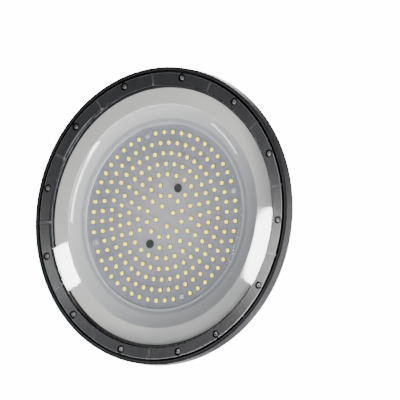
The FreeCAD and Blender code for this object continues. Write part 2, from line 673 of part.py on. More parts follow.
def eye_bolt():
    """Forged eye bolt: threaded shank, collar and round eye."""
    collar_z = EYE_BOSS_TOP + WASHER_T + LOCKNUT_H
    ring_z = collar_z + EYE_COLLAR_H + EYE_INNER_R + EYE_WIRE_R
    shank = post(EYE_SHANK_R, EYE_BOSS_TOP - EYE_THREAD_DEPTH, collar_z + EYE_COLLAR_H)
    neck_top = collar_z + EYE_COLLAR_H + EYE_WIRE_R
    collar = turned((0, collar_z), [(EYE_COLLAR_R, collar_z),
                                    (EYE_COLLAR_R, collar_z + 0.6 * EYE_COLLAR_H),
                                    (EYE_WIRE_R, neck_top), (0, neck_top)])
    loop = Part.makeTorus(EYE_INNER_R + EYE_WIRE_R, EYE_WIRE_R, V(0, 0, ring_z), V(0, 1, 0))
    return shank.fuse(collar).fuse(loop).removeSplitter()


# ---------------------------------------------------------------- files
NODES = {
    "heat_sink": heat_sink,
    "bezel_ring": bezel_ring,
    "bezel_screws": bezel_screws,
    "lens_gasket": lens_gasket,
    "lens_cover": lens_cover,
    "reflector": reflector,
    "led_board": led_board,
    "led_chips": led_chips,
    "board_screws": board_screws,
    "thermal_pad": thermal_pad,
    "wire_grommets": wire_grommets,
    "output_leads": output_leads,
    "driver_board": driver_board,
    "driver_screws": driver_screws,
    "driver_transformer": driver_transformer,
    "driver_capacitors": driver_capacitors,
    "driver_choke": driver_choke,
    "power_transistors": power_transistors,
    "driver_fuse": driver_fuse,
    "input_terminals": input_terminals,
    "gland_body": gland_body,
    "gland_seal": gland_seal,
    "gland_nut": gland_nut,
    "eye_washer": eye_washer,
    "eye_locknut": eye_locknut,
    "eye_bolt": eye_bolt,
}

os.makedirs("parts", exist_ok=True)
for name, make in NODES.items():
    shape = make()
    shape.exportStep("parts/" + name + ".step")
    print("%-20s solids %3d  valid %s  volume %.0f" % (name, len(shape.Solids), shape.isValid(),
                                                      shape.Volume))
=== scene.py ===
"""Looks of the high bay light: its finishes, its fine pieces, and the camera and light that show it."""

import logging
import math
from dataclasses import dataclass, field
from enum import Enum
from typing import Callable

import bmesh
import bpy
from mathutils import Matrix, Vector


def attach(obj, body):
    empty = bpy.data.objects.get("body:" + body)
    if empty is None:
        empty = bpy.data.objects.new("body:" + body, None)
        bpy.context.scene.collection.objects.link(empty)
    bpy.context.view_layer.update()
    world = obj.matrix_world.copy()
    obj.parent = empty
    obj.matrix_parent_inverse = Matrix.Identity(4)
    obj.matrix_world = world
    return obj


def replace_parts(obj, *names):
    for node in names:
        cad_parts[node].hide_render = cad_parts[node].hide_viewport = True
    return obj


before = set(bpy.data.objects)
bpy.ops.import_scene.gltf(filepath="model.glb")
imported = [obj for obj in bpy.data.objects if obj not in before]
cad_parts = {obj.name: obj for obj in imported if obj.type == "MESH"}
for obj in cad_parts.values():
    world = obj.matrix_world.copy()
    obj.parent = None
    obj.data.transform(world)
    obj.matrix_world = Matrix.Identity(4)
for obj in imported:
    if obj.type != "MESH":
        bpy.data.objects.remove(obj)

MM = 0.001
LOG = logging.getLogger("high_bay_light")
Colour = tuple[float, float, float]
Range = tuple[float, float]
Rings = tuple[tuple[float, float, float, Colour], ...]  # from, to, fade (mm from the axis) and tone

BLACK = (0.002, 0.002, 0.002)
MOST = (0.3, 0.7)  # range that holds most values of a cloudy pattern
FACING = 0.9  # cosine past which a face counts as facing a way
WELD = 0.001 * MM  # gap between points that are one point
LEVEL = 0.01 * MM  # height difference that still counts as level
SHARP = 0.5  # fold, in radians, past which an edge is a solid's own edge
MIX_COLOURS, MIX_RESULT = (6, 7), 2  # the Mix node's sockets for colours
NO_SPOKE = 90.0  # degrees added past the last spoke, so that nothing there counts as near one


class Slot(Enum):
    """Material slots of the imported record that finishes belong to."""

    CASTING = "casting_paint"
    BEZEL = "bezel_black"
    SCREW = "screw_steel"
    EYE = "eye_steel"
    SILICONE = "silicone"
    COVER = "clear_cover"
    REFLECTOR = "reflector_white"
    BOARD = "board_white"
    CHIP = "chip_yellow"
    PAD = "pad_grey"
    RUBBER = "rubber_black"
    SLEEVE = "lead_sleeve"
    PCB = "pcb_green"
    FERRITE = "ferrite"
    CAPACITOR = "capacitor_sleeve"
    DEVICE = "black_plastic"
    TERMINAL = "terminal_plastic"
    FUSE = "fuse_plastic"
    NYLON = "gland_nylon"


class Extra(Enum):
    """Finishes that share a slot with another one and go by a name of their own."""

    PHOSPHOR = "phosphor"
    # a dark plate under each LED that paints its shadow on the board
    SOLDER_FOOT = "solder_foot"
    ZINC = "screw_zinc"


# ---------------------------------------------------------------- finishes


class Graph:
    """Node tree of one material, with short calls that add and join its nodes."""

    def __init__(self, name: str) -> None:
        """Starts an empty material.

        Args:
            name: name of the material.
        """
        self.material = bpy.data.materials.new(name)
        self.material.use_nodes = True
        self.tree = self.material.node_tree
        self.tree.nodes.clear()
        self.output = self.tree.nodes.new("ShaderNodeOutputMaterial")
        self.place = self.tree.nodes.new("ShaderNodeTexCoord").outputs["Object"]

    def node(self, kind: str, **sockets: object) -> bpy.types.Node:
        """Adds a node and sets or joins its inputs.

        Args:
            kind: the node's type, without the ShaderNode prefix.
            **sockets: inputs by name, with underscores for spaces; a socket is joined, a value is set.

        Returns:
            The new node.
        """
        node = self.tree.nodes.new("ShaderNode" + kind)
        for name, value in sockets.items():
            self.feed(node.inputs[name.replace("_", " ")], value)
        return node

    def feed(self, socket: bpy.types.NodeSocket, value: object) -> None:
        """Joins another node's output to a socket, or sets the socket's own value.

        Args:
            socket: the input to feed.
            value: the output to join to it, or the value to set.
        """
        if isinstance(value, bpy.types.NodeSocket):
            self.tree.links.new(value, socket)
        else:
            socket.default_value = value

    def noise(self, size: float, detail: float) -> bpy.types.NodeSocket:
        """Cloudy pattern fixed to the piece.

        Args:
            size: width of one cloud, in metres.
            detail: octaves of finer clouds.

        Returns:
            The pattern's value, about 0.5 on average.
        """
        return self.node("TexNoise", Vector=self.place, Scale=1 / size, Detail=detail).outputs["Fac"]

    def reach(self) -> bpy.types.NodeSocket:
        """Distance from the piece's own upright axis.

        Returns:
            The distance, in metres.
        """
        flat = self.node("VectorMath")
        flat.operation = "MULTIPLY"
        self.feed(flat.inputs[0], self.place)
        flat.inputs[1].default_value = (1, 1, 0)
        length = self.node("VectorMath")
        length.operation = "LENGTH"
        self.feed(length.inputs[0], flat.outputs["Vector"])
        return length.outputs["Value"]

    def math(self, operation: str, first: object, second: object = 0.0) -> bpy.types.NodeSocket:
        """Works out one sum.

        Args:
            operation: the sum, as the Math node names it.
            first: its first number or socket.
            second: its second number or socket.

        Returns:
            The result.
        """
        sum_node = self.node("Math")
        sum_node.operation = operation
        self.feed(sum_node.inputs[0], first)
        self.feed(sum_node.inputs[1], second)
        return sum_node.outputs["Value"]

    def turn_from(self, first: float, step: float, count: int) -> bpy.types.NodeSocket:
        """How far a point is turned from the nearest of evenly stepped spokes.

        Args:
            first: angle of the first spoke from the +Y axis towards -X, in degrees.
            step: angle between spokes, in degrees.
            count: how many spokes there are.

        Returns:
            The angle, in degrees, never negative, and large where the spokes have ended.
        """
        split = self.node("SeparateXYZ", Vector=self.place)
        turn = self.math("ARCTAN2", self.math("MULTIPLY", split.outputs["X"], -1.0), split.outputs["Y"])
        start = self.math("SUBTRACT", self.math("DEGREES", turn), first - step / 2)
        past = self.math("FLOORED_MODULO", start, 360.0)
        over = self.math("SUBTRACT", self.math("FLOORED_MODULO", past, step), step / 2)
        late = self.math("GREATER_THAN", past, step * count)
        return self.math("ADD", self.math("ABSOLUTE", over), self.math("MULTIPLY", late, NO_SPOKE))

    def between(self, value: bpy.types.NodeSocket, low: float, high: float,
                soft: float) -> bpy.types.NodeSocket:
        """Marks a range of values with 1, fading to 0 outside it.

        Args:
            value: the value to test.
            low: start of the range.
            high: end of the range.
            soft: width of the fade at either end.

        Returns:
            The mark, from 0 to 1.
        """
        return self.math("MULTIPLY", self.ramp(value, low - soft, low, 0.0, 1.0),
                         self.ramp(value, high, high + soft, 1.0, 0.0))

    def ringed(self, colour: bpy.types.NodeSocket, rings: Rings) -> bpy.types.NodeSocket:
        """Tones a colour in rings round the piece's own upright axis.

        Args:
            colour: the colour under the rings.
            rings: the rings, the later over the earlier.

        Returns:
            The toned colour.
        """
        if not rings:
            return colour
        reach = self.reach()
        for low, high, soft, tone in rings:
            colour = self.blend(self.between(reach, low * MM, high * MM, soft * MM), colour, tone)
        return colour

    def ramp(self, value: bpy.types.NodeSocket, low: float, high: float,
             to_low: float, to_high: float) -> bpy.types.NodeSocket:
        """Maps one range of values onto another, clamped.

        Args:
            value: the value to map.
            low: start of its range.
            high: end of its range.
            to_low: what the start becomes.
            to_high: what the end becomes.

        Returns:
            The mapped value.
        """
        node = self.node("MapRange", Value=value)
        for name, number in (("From Min", low), ("From Max", high), ("To Min", to_low), ("To Max", to_high)):
            node.inputs[name].default_value = number
        return node.outputs["Result"]

    def blend(self, share: bpy.types.NodeSocket, first: object, second: object) -> bpy.types.NodeSocket:
        """Mixes two colours.

        Args:
            share: how much of the second colour, from 0 to 1.
            first: colour at 0.
            second: colour at 1.

        Returns:
            The mixed colour.
        """
        node = self.tree.nodes.new("ShaderNodeMix")
        node.data_type = "RGBA"
        self.feed(node.inputs[0], share)
        for socket, colour in zip(MIX_COLOURS, (first, second)):
            self.feed(node.inputs[socket], (*colour, 1.0) if isinstance(colour, tuple) else colour)
        return node.outputs[MIX_RESULT]

    def bump(self, height: bpy.types.NodeSocket, depth: float) -> bpy.types.NodeSocket:
        """Turns a height pattern into a bent normal.

        Args:
            height: pattern from 0 to 1.
            depth: height of the relief, in metres.

        Returns:
            The bent normal.
        """
        return self.node("Bump", Height=height, Distance=depth, Strength=1.0).outputs["Normal"]

    def principled(self, **sockets: object) -> None:
        """Adds the main shader and joins it to the output.

        Args:
            **sockets: inputs of the shader, as node() takes them.
        """
        shader = self.node("BsdfPrincipled", **sockets)
        self.tree.links.new(shader.outputs["BSDF"], self.output.inputs["Surface"])

    def choose(self, ray: str, others: bpy.types.Node, chosen: bpy.types.Node) -> None:
        """Gives one kind of ray a shader of its own, and joins both to the output.

        Args:
            ray: the kind of ray, as the Light Path node names it.
            others: shader that all other rays meet.
            chosen: shader that this kind of ray meets.
        """
        mixed = self.node("MixShader", Fac=self.node("LightPath").outputs[ray])
        self.tree.links.new(others.outputs[0], mixed.inputs[1])
        self.tree.links.new(chosen.outputs[0], mixed.inputs[2])
        self.tree.links.new(mixed.outputs[0], self.output.inputs["Surface"])


@dataclass(frozen=True)
class Finish:
    """What every finish has: its slot and, where a slot has several finishes, a name of its own."""

    slot: Slot
    extra: Extra | None = field(default=None, kw_only=True)

    @property
    def label(self) -> str:
        """Name of the finish's material."""
        return (self.extra or self.slot).value

    def make(self) -> bpy.types.Material:
        """Builds the material; each kind of finish has its own way."""
        raise NotImplementedError


@dataclass(frozen=True)
class Coating(Finish):
    """Powder coat or paint on metal: two close shades, fine orange peel and light flecks of dust."""

    dark: Colour
    light: Colour
    roughness: Range
    cloud_size: float = 38 * MM
    fleck_size: float = 0.45 * MM
    fleck_range: Range = (0.62, 0.8)
    fleck_share: float = 0.6
    fleck_gain: float = 1.5
    fleck_lift: float = 0.004
    wear_size: float = 9 * MM
    peel_size: float = 1.1 * MM
    peel_depth: float = 0.02 * MM
    rings: Rings = ()

    def make(self) -> bpy.types.Material:
        """Builds the material.

        Returns:
            The material.
        """
        graph = Graph(self.label)
        cloud = graph.noise(self.cloud_size, 4)
        fleck = graph.noise(self.fleck_size, 2)
        shade = graph.blend(graph.ramp(cloud, *MOST, 0.0, 1.0), self.dark, self.light)
        speck = tuple(self.fleck_gain * part + self.fleck_lift for part in self.light)
        colour = graph.blend(graph.ramp(fleck, *self.fleck_range, 0.0, self.fleck_share), shade, speck)
        colour = self.marked(graph, graph.ringed(colour, self.rings))
        rough = graph.ramp(graph.noise(self.wear_size, 4), *MOST, *self.roughness)
        peel = graph.bump(graph.noise(self.peel_size, 2), self.peel_depth)
        graph.principled(Base_Color=colour, Roughness=rough, Normal=peel)
        return graph.material

    def marked(self, graph: Graph, colour: bpy.types.NodeSocket) -> bpy.types.NodeSocket:
        """Adds marks over the coat; a plain coat has none."""
        return colour


@dataclass(frozen=True)
class BezelCoating(Coating):
    """The bezel's coat: painted shade in the wells round its screws and a painted highlight beside each line
    that parts its face.
    """

    screw_first: float = 171.7  # degrees, as are the step and the edge
    screw_step: float = 28.367
    screw_count: int = 13
    screw_circle: float = 130.6 * MM
    # painted shade round each screw, darkening its counterbore: radius and fade
    well: float = 4.1 * MM
    shade_fade: float = 0.2 * MM
    # painted highlight beside each parting line: its angles from the line, fade and tone
    edge: Range = (0.17, 0.36)
    highlight_fade: float = 0.04
    highlight_tone: Colour = (0.13, 0.135, 0.15)

    def marked(self, graph: Graph, colour: bpy.types.NodeSocket) -> bpy.types.NodeSocket:
        """Adds the painted shade in the wells and the painted highlights beside the parting lines.

        Args:
            graph: the material's graph.
            colour: colour of the plain coat.

        Returns:
            The colour with its marks.
        """
        reach = graph.reach()
        # Painted highlight: a lighter band beside each line that parts the bezel's face.
        line = graph.turn_from(self.screw_first + self.screw_step / 2, self.screw_step, self.screw_count - 1)
        colour = graph.blend(graph.between(line, *self.edge, self.highlight_fade), colour, self.highlight_tone)
        # Painted shade: black in the well round each screw.
        turn = graph.turn_from(self.screw_first, self.screw_step, self.screw_count)
        aside = graph.math("MULTIPLY", graph.math("RADIANS", turn), reach)
        out = graph.math("SUBTRACT", reach, self.screw_circle)
        squares = graph.math("ADD", graph.math("POWER", aside, 2.0), graph.math("POWER", out, 2.0))
        painted_shade = graph.ramp(graph.math("SQRT", squares), self.well, self.well + self.shade_fade, 1.0, 0.0)
        return graph.blend(painted_shade, colour, BLACK)


@dataclass(frozen=True)
class Metal(Finish):
    """Bare or plated metal with fine turning marks and soft stains."""

    tone: Colour
    stain: Colour
    roughness: float
    stain_size: float = 2.5 * MM
    stain_range: Range = (0.4, 0.75)
    stain_share: float = 0.7
    wear_size: float = 1.2 * MM
    wear: Range = (0.75, 1.3)  # times the roughness
    mark_size: float = 0.3 * MM
    mark_depth: float = 0.004 * MM

    def make(self) -> bpy.types.Material:
        """Builds the material.

        Returns:
            The material.
        """
        graph = Graph(self.label)
        stained = graph.ramp(graph.noise(self.stain_size, 4), *self.stain_range, 0.0, self.stain_share)
        colour = graph.blend(stained, self.tone, self.stain)
        least, most = (self.roughness * share for share in self.wear)
        rough = graph.ramp(graph.noise(self.wear_size, 3), *MOST, least, most)
        marks = graph.bump(graph.noise(self.mark_size, 2), self.mark_depth)
        graph.principled(Base_Color=colour, Metallic=1.0, Roughness=rough, Normal=marks)
        return graph.material


@dataclass(frozen=True)
class Moulding(Finish):
    """Moulded plastic, rubber or sheet: an even colour with faint clouds and a fine skin."""

    tone: Colour
    shade: Colour
    roughness: float
    cloud_size: float = 12 * MM
    cloud_range: Range = (0.35, 0.7)
    wear_size: float = 3 * MM
    wear: Range = (0.85, 1.2)  # times the roughness
    skin_size: float = 0.5 * MM
    skin_depth: float = 0.01 * MM
    rings: Rings = ()

    def make(self) -> bpy.types.Material:
        """Builds the material.

        Returns:
            The material.
        """
        graph = Graph(self.label)
        cloud = graph.ramp(graph.noise(self.cloud_size, 4), *self.cloud_range, 0.0, 1.0)
        colour = graph.ringed(graph.blend(cloud, self.tone, self.shade), self.rings)
        least, most = (self.roughness * share for share in self.wear)
        rough = graph.ramp(graph.noise(self.wear_size, 3), *MOST, least, most)
        skin = graph.bump(graph.noise(self.skin_size, 2), self.skin_depth)
        graph.principled(Base_Color=colour, Roughness=rough, Normal=skin)
        return graph.material


@dataclass(frozen=True)
class ClearCover(Finish):
    """Clear moulded cover: sharp gloss, a faint flow pattern, and shadow rays that pass."""

    tint: Colour = (0.985, 0.985, 0.985)
    shadow_tint: Colour = (0.94, 0.95, 0.96)
    index: float = 1.04
    gloss_index: float = 1.58
    gloss_roughness: float = 0.02
    ripple_size: float = 26 * MM
    ripple_depth: float = 0.012 * MM

    def make(self) -> bpy.types.Material:
        """Builds the material.

        Returns:
            The material.
        """
        graph = Graph(self.label)
        ripple = graph.bump(graph.noise(self.ripple_size, 1), self.ripple_depth)
        clear = graph.node("BsdfPrincipled", Base_Color=(*self.tint, 1.0), Roughness=0.0, IOR=self.index,
                           Transmission_Weight=1.0, Coat_Weight=1.0, Coat_Roughness=self.gloss_roughness,
                           Coat_IOR=self.gloss_index, Coat_Normal=ripple)
        passing = graph.node("BsdfTransparent", Color=(*self.shadow_tint, 1.0))
        graph.choose("Is Shadow Ray", clear, passing)
        return graph.material


@dataclass(frozen=True)
class Phosphor(Finish):
    """Yellow phosphor in silicone at the front of each LED, grainy, with a painted glow that makes the unlit
    phosphor shine.
    """

    tone: Colour = (1.0, 0.80, 0.03)
    grain: Colour = (1.0, 0.88, 0.09)
    grain_size: float = 0.35 * MM
    grain_range: Range = (0.35, 0.65)
    roughness: float = 0.38
    skin_size: float = 0.4 * MM
    skin_depth: float = 0.02 * MM
    # painted glow: colour and strength of the light the unlit phosphor gives off
    painted_glow: Colour = (1.0, 0.82, 0.0)
    painted_glow_strength: float = 2.7

    def make(self) -> bpy.types.Material:
        """Builds the material.

        Returns:
            The material.
        """
        graph = Graph(self.label)
        grainy = graph.ramp(graph.noise(self.grain_size, 3), *self.grain_range, 0.0, 1.0)
        colour = graph.blend(grainy, self.tone, self.grain)
        skin = graph.bump(graph.noise(self.skin_size, 2), self.skin_depth)
        graph.principled(Base_Color=colour, Roughness=self.roughness, Normal=skin,
                         Emission_Color=(*self.painted_glow, 1.0), Emission_Strength=self.painted_glow_strength)
        return graph.material


FINISHES: tuple[Finish, ...] = (
    # Casting rings: black at 135-137.2 mm is painted shade in the groove beside the bezel; the lighter ring
    # at 137.3-137.7 mm is a painted highlight on the lip's inner edge.
    Coating(Slot.CASTING, (0.007, 0.007, 0.0085), (0.013, 0.013, 0.015), (0.42, 0.54),
            rings=((135.0, 137.2, 0.1, BLACK), (137.3, 137.7, 0.1, (0.07, 0.073, 0.08)))),
    # Bezel rings: the darker ring at 123-124.4 mm and black from 134.9 mm out are painted shade at its inner
    # edge and in the outer groove; the lighter ring at 134.1-134.8 mm is a painted highlight on its outer
    # bevel.
    BezelCoating(Slot.BEZEL, (0.018, 0.0185, 0.021), (0.024, 0.0245, 0.028), (0.15, 0.18),
                 peel_depth=0.004 * MM,
                 rings=((123.0, 124.4, 0.1, (0.012, 0.012, 0.014)),
                        (134.1, 134.8, 0.1, (0.12, 0.125, 0.135)), (134.9, 137.0, 0.1, BLACK))),
    Metal(Slot.SCREW, (0.26, 0.26, 0.27), (0.14, 0.14, 0.15), 0.24),
    Metal(Slot.SCREW, (0.75, 0.75, 0.76), (0.60, 0.60, 0.61), 0.30, extra=Extra.ZINC),
    Metal(Slot.EYE, (0.60, 0.60, 0.61), (0.42, 0.42, 0.43), 0.30, mark_size=0.8 * MM),
    Moulding(Slot.SILICONE, (0.70, 0.71, 0.72), (0.60, 0.61, 0.63), 0.45),
    ClearCover(Slot.COVER),
    # Reflector rings: inside 104.6 mm, where it slopes down to the board, it is toned darker and bluer than
    # its flat band as painted shade, with a darker ring of painted shade at 90.2-91.6 mm; inside 88.6 mm it
    # is a little lighter again.
    Moulding(Slot.REFLECTOR, (0.78, 0.77, 0.745), (0.74, 0.735, 0.715), 0.45, cloud_size=60 * MM,
             rings=((0, 104.6, 0.3, (0.56, 0.565, 0.58)), (90.2, 91.6, 1.8, (0.37, 0.385, 0.41)),
                    (0, 88.6, 0.7, (0.60, 0.61, 0.63)))),
    # Board: lighter towards its centre, painted light there with painted shade towards its rim.
    Moulding(Slot.BOARD, (0.36, 0.375, 0.44), (0.29, 0.305, 0.365), 0.35, cloud_size=11 * MM,
             rings=((0, 18, 45, (0.50, 0.50, 0.53)),)),
    # dark plate under each LED: a painted shadow on the board
    Moulding(Slot.CHIP, (0.055, 0.066, 0.105), (0.04, 0.048, 0.08), 0.5, extra=Extra.SOLDER_FOOT),
    Phosphor(Slot.CHIP, extra=Extra.PHOSPHOR),
    Moulding(Slot.CHIP, (0.62, 0.58, 0.34), (0.50, 0.47, 0.28), 0.40, cloud_size=2 * MM),
    Moulding(Slot.PAD, (0.30, 0.31, 0.33), (0.24, 0.25, 0.27), 0.70),
    Moulding(Slot.RUBBER, (0.022, 0.023, 0.026), (0.016, 0.017, 0.019), 0.6),
    Moulding(Slot.SLEEVE, (0.020, 0.020, 0.022), (0.035, 0.035, 0.037), 0.40),
    Moulding(Slot.PCB, (0.03, 0.16, 0.07), (0.02, 0.12, 0.05), 0.35),
    Moulding(Slot.FERRITE, (0.035, 0.033, 0.032), (0.06, 0.055, 0.05), 0.60),
    Moulding(Slot.CAPACITOR, (0.02, 0.025, 0.05), (0.03, 0.035, 0.07), 0.30),
    Moulding(Slot.DEVICE, (0.018, 0.018, 0.019), (0.028, 0.028, 0.030), 0.50),
    Moulding(Slot.TERMINAL, (0.05, 0.20, 0.32), (0.04, 0.16, 0.27), 0.42),
    Moulding(Slot.FUSE, (0.12, 0.09, 0.06), (0.09, 0.07, 0.05), 0.45),
    Moulding(Slot.NYLON, (0.017, 0.017, 0.018), (0.026, 0.026, 0.028), 0.42),
)

NODE_SLOTS = {
    "heat_sink": Slot.CASTING, "bezel_ring": Slot.BEZEL, "bezel_screws": Slot.SCREW,
    "lens_gasket": Slot.SILICONE, "lens_cover": Slot.COVER, "reflector": Slot.REFLECTOR,
    "led_board": Slot.BOARD, "led_chips": Slot.CHIP, "board_screws": Slot.SCREW,
    "thermal_pad": Slot.PAD, "wire_grommets": Slot.RUBBER, "output_leads": Slot.SLEEVE,
    "driver_board": Slot.PCB, "driver_screws": Slot.SCREW, "driver_transformer": Slot.FERRITE,
    "driver_capacitors": Slot.CAPACITOR, "driver_choke": Slot.FERRITE, "power_transistors": Slot.DEVICE,
    "driver_fuse": Slot.FUSE, "input_terminals": Slot.TERMINAL, "gland_body": Slot.NYLON,
    "gland_seal": Slot.RUBBER, "gland_nut": Slot.NYLON, "eye_washer": Slot.EYE,
    "eye_locknut": Slot.EYE, "eye_bolt": Slot.EYE,
}


# ---------------------------------------------------------------- modelling by hand


def only(piece: bpy.types.Object) -> None:
    """Selects one piece alone and makes it the active one.

    Args:
        piece: the piece to select.
    """
    bpy.ops.object.select_all(action="DESELECT")
    piece.select_set(True)
    bpy.context.view_layer.objects.active = piece


def pick_faces(piece: bpy.types.Object, wanted: Callable[[Vector, Vector], bool]) -> None:
    """Selects faces in edit mode.

    Args:
        piece: the piece in edit mode.
        wanted: takes a face's centre and normal and says whether it is selected.
    """
    bpy.ops.mesh.select_mode(type="FACE")
    bpy.ops.mesh.select_all(action="DESELECT")
    mesh = bmesh.from_edit_mesh(piece.data)
    for face in mesh.faces:
        face.select_set(wanted(face.calc_center_median(), face.normal))
    bmesh.update_edit_mesh(piece.data)


def pick_edges(piece: bpy.types.Object, wanted: Callable[[Vector, Vector], bool]) -> None:
    """Selects edges in edit mode.

    Args:
        piece: the piece in edit mode.
        wanted: takes an edge's two ends and says whether it is selected.
    """
    bpy.ops.mesh.select_mode(type="EDGE")
    bpy.ops.mesh.select_all(action="DESELECT")
    mesh = bmesh.from_edit_mesh(piece.data)
    for edge in mesh.edges:
        edge.select_set(wanted(edge.verts[0].co, edge.verts[1].co))
    bmesh.update_edit_mesh(piece.data)


def copies(master: bpy.types.Object, places: list[Matrix], name: str) -> bpy.types.Object:
    """Copies a finished master to every place and joins the copies into one piece.

    Args:
        master: the piece that repeats, modelled at the origin; it is removed.
        places: where each copy goes.
        name: name of the joined piece.

    Returns:
        The joined piece, with its object at the origin.
    """
    made = []
    for place in places:
        twin = master.copy()
        twin.data = master.data.copy()
        twin.data.transform(place)
        bpy.context.scene.collection.objects.link(twin)
        made.append(twin)
    bpy.data.objects.remove(master)
    bpy.ops.object.select_all(action="DESELECT")
    for twin in made:
        twin.select_set(True)
    bpy.context.view_layer.objects.active = made[0]
    bpy.ops.object.join()
    made[0].name = name
    return made[0]


@dataclass(frozen=True)
class Island:
    """One separate solid of a CAD node: its box and which way its longest level edge runs."""

    low: Vector
    high: Vector
    heading: float

    @property
    def middle(self) -> Vector:
        """Centre of the box."""
        return (self.low + self.high) / 2


def islands(node: str) -> list[Island]:
    """Finds the separate solids of a CAD node.

    Args:
        node: name of the node.

    Returns:
        One island per solid.
    """
    mesh = bmesh.new()
    mesh.from_mesh(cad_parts[node].data)
    bmesh.ops.remove_doubles(mesh, verts=mesh.verts, dist=WELD)
    found, seen = [], set()
    for start in mesh.verts:
        if start in seen:
            continue
        group, queue = [], [start]
        seen.add(start)
        while queue:
            vertex = queue.pop()
            group.append(vertex)
            for edge in vertex.link_edges:
                other = edge.other_vert(vertex)
                if other not in seen:
                    seen.add(other)
                    queue.append(other)
        found.append(island_of(group))
    mesh.free()
    return found


def island_of(group: list[bmesh.types.BMVert]) -> Island:
    """Measures one solid.

    Args:
        group: its vertices.

    Returns:
        The solid's box and heading.
    """
    low = Vector([min(v.co[axis] for v in group) for axis in range(3)])
    high = Vector([max(v.co[axis] for v in group) for axis in range(3)])
    sides = [edge for v in group for edge in v.link_edges
             if len(edge.link_faces) == 2 and edge.calc_face_angle(0.0) > SHARP
             and abs(edge.verts[0].co.z - edge.verts[1].co.z) < LEVEL]
    if not sides:
        return Island(low, high, 0.0)
    longest = max(sides, key=lambda edge: round(edge.calc_length(), 6))  # of equal ones, the first
    run = longest.verts[1].co - longest.verts[0].co
    return Island(low, high, math.atan2(run.y, run.x))


# ---------------------------------------------------------------- sub-assemblies


@dataclass
class LedPackages:
    """The surface-mount LEDs: a pale package round a well of yellow phosphor, on a thin dark plate that is a
    painted shadow round each LED.
    """

    finishes: dict[str, bpy.types.Material]
    length: float = 3.7 * MM
    width: float = 3.4 * MM
    corner: float = 0.95 * MM
    corner_steps: int = 2
    rim: float = 0.16 * MM
    well: float = 0.08 * MM
    well_slope: float = 0.16 / 3 * MM
    # plate of painted shadow: how far past the package it reaches, and how thick it is
    shadow_margin: float = 0.50 * MM
    shadow_thickness: float = 0.06 * MM

    def master(self, height: float) -> bpy.types.Object:
        """Models one LED that faces down, centred on the origin.

        Args:
            height: thickness of the package.

        Returns:
            The finished LED.
        """
        bpy.ops.object.select_all(action="DESELECT")
        bpy.ops.mesh.primitive_cube_add(size=1)
        piece = bpy.context.object
        coats = (Slot.CHIP, Extra.PHOSPHOR, Extra.SOLDER_FOOT)
        for coat in coats:
            piece.data.materials.append(self.finishes[coat.value])
        bpy.ops.object.mode_set(mode="EDIT")
        bpy.ops.transform.resize(value=(self.length, self.width, height))
        pick_edges(piece, lambda a, b: abs(a.z - b.z) > height / 2)
        bpy.ops.mesh.bevel(offset=self.corner, segments=self.corner_steps, affect="EDGES")
        pick_faces(piece, lambda centre, normal: normal.z < -FACING)
        bpy.ops.mesh.inset(thickness=self.rim, depth=0)
        bpy.ops.mesh.inset(thickness=self.well_slope, depth=-self.well)
        piece.active_material_index = coats.index(Extra.PHOSPHOR)
        bpy.ops.object.material_slot_assign()
        # A thin dark plate under the package, wider than it: a painted shadow round the LED.
        bpy.ops.mesh.primitive_cube_add(size=1)
        shadow_size = (self.length + 2 * self.shadow_margin, self.width + 2 * self.shadow_margin, self.shadow_thickness)
        bpy.ops.transform.resize(value=shadow_size)
        bpy.ops.transform.translate(value=(0, 0, (height - self.shadow_thickness) / 2))
        piece.active_material_index = coats.index(Extra.SOLDER_FOOT)
        bpy.ops.object.material_slot_assign()
        bpy.ops.object.mode_set(mode="OBJECT")
        return piece

    def build(self) -> bpy.types.Object:
        """Puts an LED on every place of the board.

        Returns:
            The joined LEDs.
        """
        solids = islands("led_chips")
        height = solids[0].high.z - solids[0].low.z
        places = [Matrix.Translation(solid.middle) @ Matrix.Rotation(solid.heading, 4, "Z")
                  for solid in solids]
        piece = copies(self.master(height), places, "led_packages")
        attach(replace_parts(piece, "led_chips"), "root")
        LOG.info("%s: %d LEDs", piece.name, len(places))
        return piece


